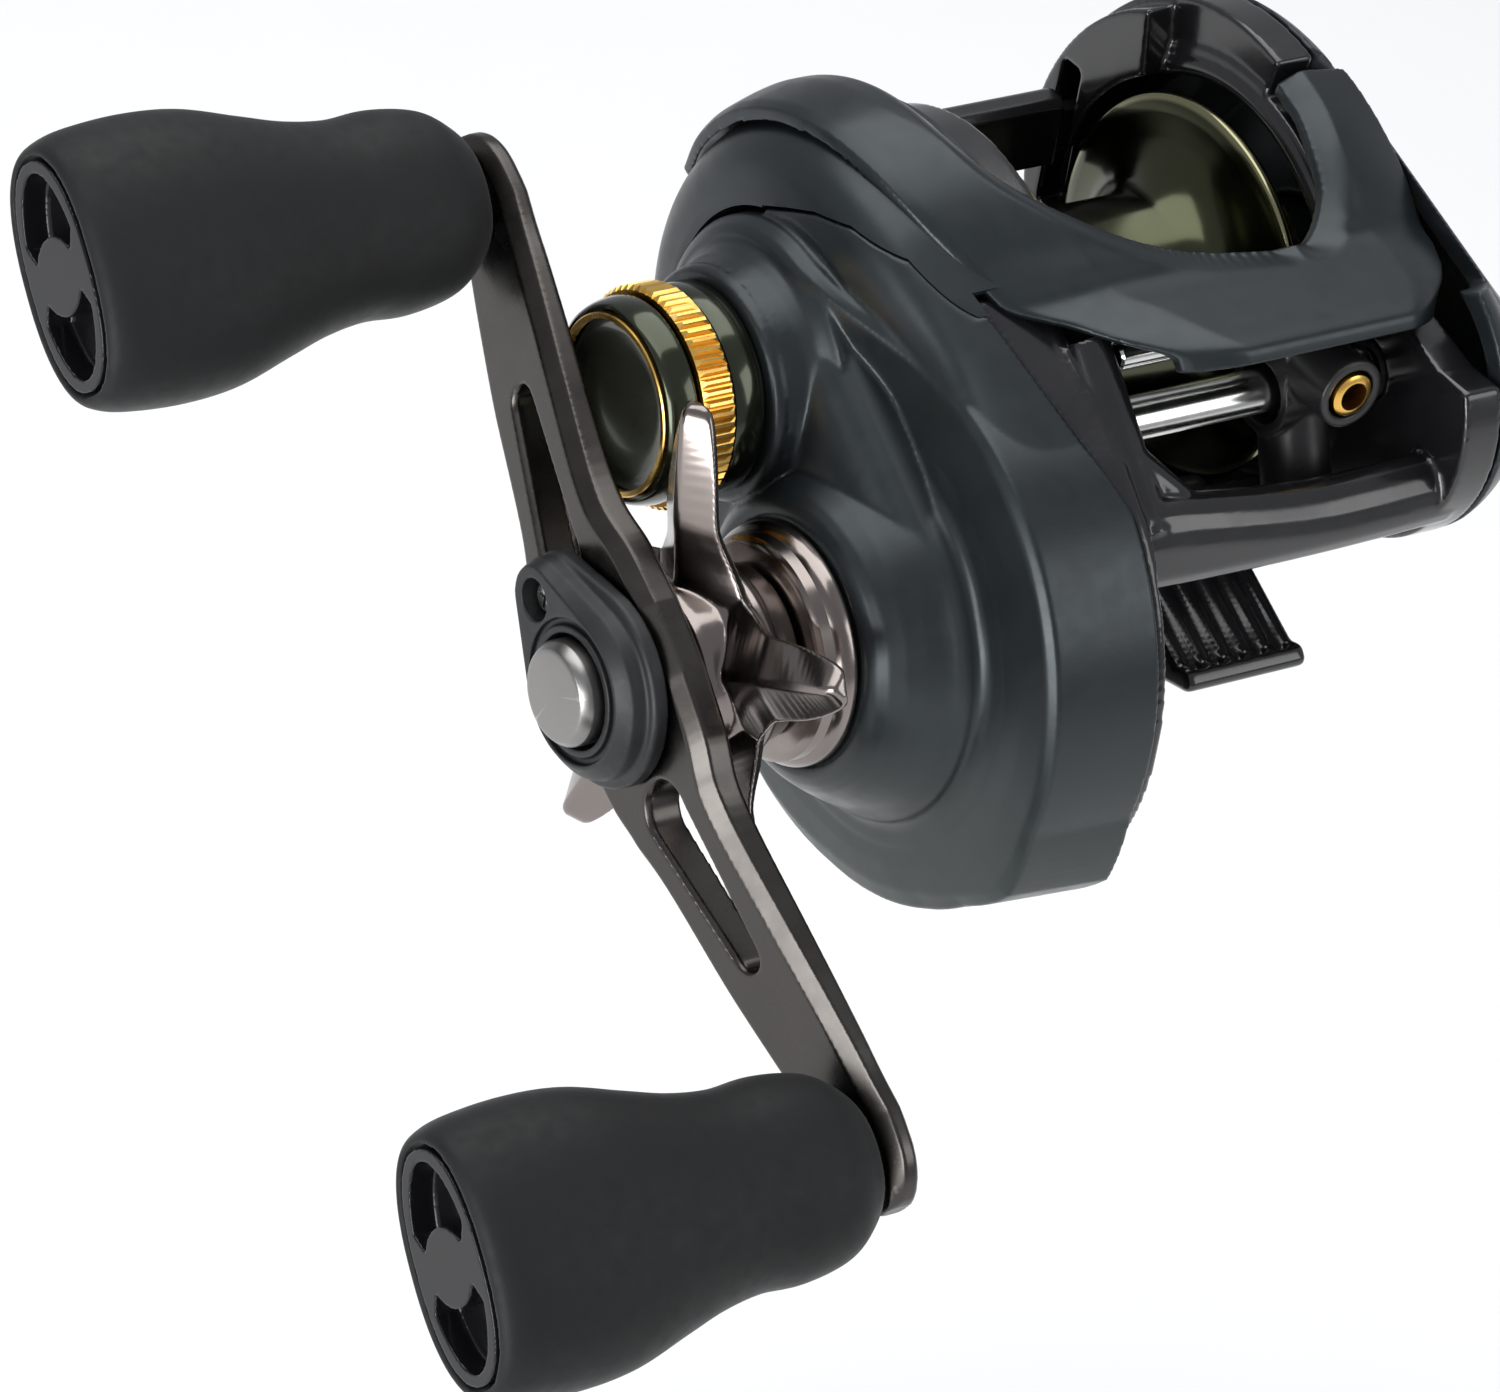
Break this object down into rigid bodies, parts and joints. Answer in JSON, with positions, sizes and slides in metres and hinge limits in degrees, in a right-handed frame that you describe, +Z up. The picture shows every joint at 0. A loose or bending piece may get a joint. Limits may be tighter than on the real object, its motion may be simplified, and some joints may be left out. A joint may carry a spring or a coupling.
{
  "type": "baitcasting reel",
  "caption": "Low-profile fishing reel with a double-knob crank handle, star drag, level-wind line guide, spool, thumb clutch bar and a flat foot for a rod's reel seat.",
  "frame": {"origin": "middle of the flat underside of the foot", "axes": "+X along the spool axis away from the handle, toward the palm side; -Y toward the front where the line leaves; +Z up, away from the rod"},
  "size_m": [0.1127, 0.0915, 0.0724],
  "materials": {
    "charcoal_paint": "satin metallic charcoal paint",
    "gloss_black": "gloss black paint",
    "black_plastic": "semi-gloss black",
    "cap_plastic": "gloss black",
    "satin_gunmetal": "satin gunmetal anodised",
    "polished_nickel": "polished, warm nickel tone",
    "satin_steel": "satin",
    "matte_black": "matte",
    "knob_rubber": "matte",
    "dark_green_anodised": "glossy dark green anodised",
    "gold_anodised": "gold anodised",
    "bronze_green_anodised": "polished bronze green anodised",
    "brass": "machined",
    "bright_steel": "polished steel",
    "carbon_fibre": "woven"
  },
  "bodies": {
    "housing": {"frame": "gloss_black", "gear_housing": "charcoal_paint", "gear_cover": "charcoal_paint", "top_hood": "charcoal_paint", "worm_guard": "bright_steel", "guide_rod": "bright_steel", "worm_bush_palm": "black_plastic", "worm_bush_handle": "black_plastic", "drive_bearing": "bright_steel", "pinion_bearing": "bright_steel", "roller_clutch": "satin_steel", "clutch_cover_ring": "polished_nickel", "brake_drum": "brass", "spool_bearing_handle": "bright_steel"},
    "palm_side": {"palm_side_plate": "charcoal_paint", "brake_dial_pin": "bright_steel", "spool_bearing_palm": "bright_steel"},
    "dial": {"brake_dial": "matte_black"},
    "spool": {"spool": "bronze_green_anodised", "spool_shaft": "bright_steel", "brake_shoe_carrier": "black_plastic", "brake_shoe_1": "matte_black", "brake_shoe_2": "matte_black", "brake_shoe_3": "matte_black", "brake_shoe_4": "matte_black"},
    "cast_cap": {"cast_control_cap": "dark_green_anodised", "cap_knurled_ring": "gold_anodised", "cap_trim_ring": "gold_anodised"},
    "shim": {"cast_control_shim": "brass"},
    "handle": {"drive_shaft": "bright_steel", "drive_gear": "brass", "idle_gear": "black_plastic", "drag_washer": "carbon_fibre", "key_washer": "satin_steel", "clutch_tube": "bright_steel", "drag_spring_washer": "satin_steel", "handle_arm": "satin_gunmetal", "nut_retainer": "matte_black", "retainer_screw": "bright_steel", "handle_nut": "satin_steel", "knob_1_post": "bright_steel", "knob_2_post": "bright_steel"},
    "star": {"star_drag": "polished_nickel"},
    "nut": {"drag_nut": "brass"},
    "knob_lower": {"knob_1": "knob_rubber", "knob_1_cap": "cap_plastic", "knob_1_bearing": "bright_steel"},
    "knob_upper": {"knob_2": "knob_rubber", "knob_2_cap": "cap_plastic", "knob_2_bearing": "bright_steel"},
    "yoke": {"clutch_yoke": "matte_black"},
    "pinion": {"pinion_gear": "brass"},
    "worm": {"worm_shaft": "bright_steel", "worm_gear": "brass"},
    "guide": {"line_guide": "black_plastic", "line_ring": "gold_anodised"},
    "guide_pawl": {"pawl": "bright_steel"},
    "thumb": {"thumb_bar": "gloss_black"}
  },
  "joints": [
    {"name": "handle_spin", "type": "hinge", "parent": "housing", "child": "handle", "pos_m": [0, -0.0156, 0.0037], "axis": [1, 0, 0], "continuous": true},
    {"name": "star_turn", "type": "hinge", "parent": "handle", "child": "star", "pos_m": [0, -0.0156, 0.0037], "axis": [1, 0, 0], "range_deg": [-140, 140]},
    {"name": "drag_nut_travel", "type": "slide", "parent": "star", "child": "nut", "axis": [1, 0, 0], "range_m": [-0.0003, 0.0003]},
    {"name": "knob_lower_spin", "type": "hinge", "parent": "handle", "child": "knob_lower", "pos_m": [-0.065, -0.05, -0.02039], "axis": [1, 0, 0], "continuous": true},
    {"name": "knob_upper_spin", "type": "hinge", "parent": "handle", "child": "knob_upper", "pos_m": [-0.065, 0.0188, 0.02779], "axis": [1, 0, 0], "continuous": true},
    {"name": "thumb_press", "type": "slide", "parent": "housing", "child": "thumb", "axis": [0, 0, -1], "range_m": [0, 0.0045]},
    {"name": "yoke_travel", "type": "slide", "parent": "housing", "child": "yoke", "axis": [-1, 0, 0], "range_m": [0, 0.0011]},
    {"name": "pinion_spin", "type": "hinge", "parent": "yoke", "child": "pinion", "pos_m": [0, 0, 0.0186], "axis": [1, 0, 0], "continuous": true},
    {"name": "spool_spin", "type": "hinge", "parent": "housing", "child": "spool", "pos_m": [0, 0, 0.0186], "axis": [1, 0, 0], "continuous": true},
    {"name": "worm_spin", "type": "hinge", "parent": "housing", "child": "worm", "pos_m": [0, -0.0212, 0.0221], "axis": [1, 0, 0], "continuous": true},
    {"name": "guide_travel", "type": "slide", "parent": "housing", "child": "guide", "axis": [1, 0, 0], "range_m": [-0.0145, 0.0035]},
    {"name": "pawl_swivel", "type": "hinge", "parent": "guide", "child": "guide_pawl", "pos_m": [0.0055, -0.02324, 0.01753], "axis": [0, -0.4074, -0.9132], "range_deg": [-25, 25]},
    {"name": "cast_cap_turn", "type": "hinge", "parent": "housing", "child": "cast_cap", "pos_m": [0, 0, 0.0186], "axis": [1, 0, 0], "range_deg": [-90, 160]},
    {"name": "shim_travel", "type": "slide", "parent": "cast_cap", "child": "shim", "axis": [1, 0, 0], "range_m": [-0.00015, 0.00024]},
    {"name": "palm_side_slide", "type": "slide", "parent": "housing", "child": "palm_side", "axis": [1, 0, 0], "range_m": [0, 0.012]},
    {"name": "brake_dial_turn", "type": "hinge", "parent": "palm_side", "child": "dial", "pos_m": [0.022, -0.019, 0.0141], "axis": [1, 0, 0], "range_deg": [0, 300]}
  ],
  "couplings": [
    {"joint": "spool_spin", "follows": "handle_spin", "ratio": -7.4},
    {"joint": "pinion_spin", "follows": "handle_spin", "ratio": -7.4},
    {"joint": "worm_spin", "follows": "handle_spin", "ratio": -3.7143},
    {"joint": "drag_nut_travel", "follows": "star_turn", "m_per_rad": 0.0001194},
    {"joint": "yoke_travel", "follows": "thumb_press", "ratio": 0.24444},
    {"joint": "shim_travel", "follows": "cast_cap_turn", "m_per_rad": 0.0000796}
  ]
}
